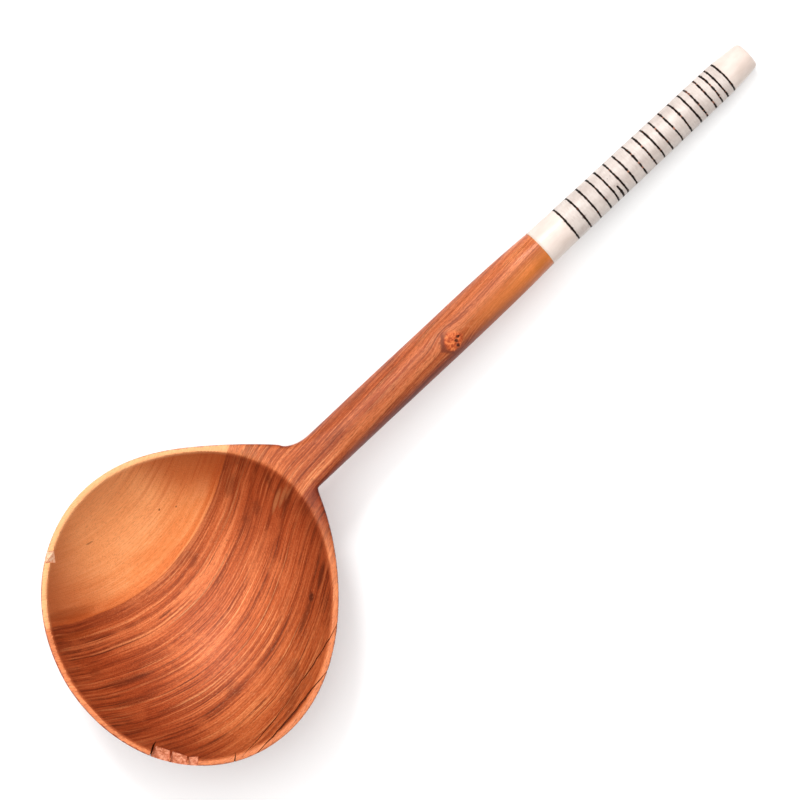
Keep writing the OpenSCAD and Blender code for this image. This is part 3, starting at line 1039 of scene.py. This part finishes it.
def bone_look():
    """Smooth cream bone, scraped round and round between the rings and stained in their grooves."""
    look = Look("polished_bone")
    m, fade, times = look.math, look.fade, look.times
    x, y, z = look.split(look.spot)
    along, off_line = handle_place(look)

    def stretched(along_x, across, detail, rough):
        steps = (times(x, along_x), times(y, across), times(z, across))
        return look.noise(look.join(*steps), 1.0, detail, rough)

    cloud = stretched(0.08, 0.25, 3, 0.55)
    scratch = stretched(5.5, 0.5, 3, 0.65)
    canal = fade(stretched(0.5, 4.0, 2, 0.6), 0.6, 0.75)
    past_first = fade(along, RING_X[0] - 1, RING_X[0] + 0.5)
    ringed = times(past_first, fade(along, RING_X[-1] + 1, RING_X[-1] - 0.5))
    plain = look.ramp(fade(cloud, 0.3, 0.7), [(0.0, (211, 192, 181)), (1.0, (223, 207, 197))])
    scraped = look.ramp(fade(cloud, 0.3, 0.7), [(0.0, (188, 174, 166)), (1.0, (209, 197, 189))])
    scraped = look.blend(fade(scratch, 0.5, 0.66, 0.0, 0.35), scraped, (166, 142, 132))
    scraped = look.blend(fade(scratch, 0.46, 0.34, 0.0, 0.3), scraped, (228, 218, 212))
    colour = look.blend(ringed, plain, scraped)
    colour = look.blend(times(canal, 0.25), colour, (190, 164, 146))

    # The grooves are found by how far they lie below the bone's plain taper
    taper = (FIRST_RING_R - LAST_RING_R) / (RING_X[-1] - RING_X[0])
    surface = m("MULTIPLY_ADD", m("SUBTRACT", along, RING_X[0]), -taper, FIRST_RING_R + FULLER)
    in_groove = fade(m("SUBTRACT", surface, off_line), 0.12, 0.25, 0.0, 0.9)
    colour = look.blend(times(in_groove, ringed), colour, (142, 84, 58))

    height = m("SUBTRACT", times(cloud, 0.3), canal)
    height = m("SUBTRACT", height, times(times(scratch, ringed), 0.8))
    roughness = m("MULTIPLY_ADD", ringed, 0.08, fade(canal, 0, 1, 0.32, 0.5))
    return look.finish(colour, roughness, height, depth=0.03, strength=0.5, specular=0.4)


# -------- the pieces put together

SHARP_ANGLE = math.radians(35)

wood_piece = build_wood()
bone_piece, bone_lumps = build_bone()
ink_pieces = [
    build_ink(f"ink_{i + 1:02d}", f"ring_ink_{i + 1:02d}", ring, bone_lumps) for i, ring in enumerate(rings)
]
ink_pieces.append(build_ink("part_ink", "part_ring_ink", part_ring, bone_lumps))
plug_piece = build_plug()

wood_piece.data.materials.append(wood_look())
torn_heart = torn_look("torn_heartwood", ((176, 96, 62), (210, 128, 94), (238, 168, 134)))
torn_sap = torn_look("torn_sapwood", ((222, 160, 120), (250, 196, 158), (255, 220, 190)))
cut_away(wood_piece, [chip_solid(*chip) for chip in TORN_CHIPS], torn_heart)
cut_away(wood_piece, [chip_solid(*SAP_CHIP)], torn_sap)
openings = [crack_solid(*crack) for crack in RIM_CRACKS] + [pit_solid(*pit) for pit in PITS]
cut_away(wood_piece, openings, crack_shade_look())
sharpen(wood_piece.data, SHARP_ANGLE)
bone_material, ink_material, adhesive_material = bone_look(), ink_look(), adhesive_look()
for piece in (bone_piece, plug_piece):
    piece.data.materials.append(bone_material)
for piece in ink_pieces:
    piece.data.materials.append(ink_material)
for node in ("tenon_adhesive", "plug_adhesive"):
    for material_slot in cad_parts[node].material_slots:
        material_slot.material = adhesive_material

# -------- stage


def add_sun(name, power, spread, toward):
    """A distant light that shines in the direction toward, softened by its spread in degrees."""
    lamp = bpy.data.lights.new(name, "SUN")
    lamp.energy = power
    lamp.angle = math.radians(spread)
    into_scene(name, lamp).rotation_euler = Vector(toward).to_track_quat("-Z", "Y").to_euler()


# A long lens looks straight down from high above, turned as in the photograph
VIEW_CENTRE, MID_HEIGHT, CAMERA_HEIGHT = (-0.00866, 0.00255), 0.02, 4.0
VIEW_WIDTH, VIEW_TURN = 0.2592, -43.14

# Soft light from above and from the spoon's left, and a sharper one that glints beside the bone
SKY_FROM, SKY_EDGE, SKY_LOW, SKY_HIGH = Vector((0.0, 0.2, 0.975)), 0.2, 0.08, 1.62
FLOOR_HALF, FLOOR_WHITE, FLOOR_GLOW, FLOOR_Z = 60.0, 0.78, 0.2, -0.0002
KEY_POWER, KEY_SPREAD, KEY_TOWARD = 0.78, 40, (0.03, -0.26, -1.0)
GLINT_POWER, GLINT_SPREAD, GLINT_TOWARD = 1.1, 12, (-0.19, -0.55, -0.82)

scene = bpy.context.scene
scene.view_settings.view_transform = "Standard"
world = bpy.data.worlds.new("soft_room")
scene.world = world
world.use_nodes = True
sky = world.node_tree
background = sky.nodes["Background"]
background.inputs["Color"].default_value = (1, 1, 1, 1)
direction = sky.nodes.new("ShaderNodeTexCoord")
toward_light = sky.nodes.new("ShaderNodeVectorMath")
toward_light.operation = "DOT_PRODUCT"
toward_light.inputs[1].default_value = SKY_FROM.normalized()
sky_fade = sky.nodes.new("ShaderNodeMapRange")
sky_fade.interpolation_type = "SMOOTHSTEP"
for key, value in zip(("From Min", "From Max", "To Min", "To Max"), (SKY_EDGE, 1.0, SKY_LOW, SKY_HIGH)):
    sky_fade.inputs[key].default_value = value
sky.links.new(direction.outputs["Generated"], toward_light.inputs[0])
sky.links.new(toward_light.outputs["Value"], sky_fade.inputs["Value"])
sky.links.new(sky_fade.outputs[0], background.inputs["Strength"])

floor_mesh = bpy.data.meshes.new("floor")
floor_sides = ((-1, -1), (1, -1), (1, 1), (-1, 1))
floor_corners = [(x * FLOOR_HALF, y * FLOOR_HALF, FLOOR_Z) for x, y in floor_sides]
floor_mesh.from_pydata(floor_corners, [], [(0, 1, 2, 3)])
into_scene("floor", floor_mesh)
floor_material = bpy.data.materials.new("floor")
floor_material.use_nodes = True
floor_inputs = floor_material.node_tree.nodes["Principled BSDF"].inputs
floor_inputs["Base Color"].default_value = (FLOOR_WHITE, FLOOR_WHITE, FLOOR_WHITE, 1)
floor_inputs["Emission Color"].default_value = (1, 1, 1, 1)
floor_inputs["Emission Strength"].default_value = FLOOR_GLOW
floor_inputs["Roughness"].default_value = 0.8
floor_mesh.materials.append(floor_material)

add_sun("key", KEY_POWER, KEY_SPREAD, KEY_TOWARD)
add_sun("glint", GLINT_POWER, GLINT_SPREAD, GLINT_TOWARD)

camera_data = bpy.data.cameras.new("camera")
camera_data.sensor_width = 36
camera_data.lens = camera_data.sensor_width * CAMERA_HEIGHT / VIEW_WIDTH
camera_data.clip_end = 50
camera = into_scene("camera", camera_data)
camera.location = (*VIEW_CENTRE, MID_HEIGHT + CAMERA_HEIGHT)
camera.rotation_euler = (0, 0, math.radians(VIEW_TURN))
scene.camera = camera
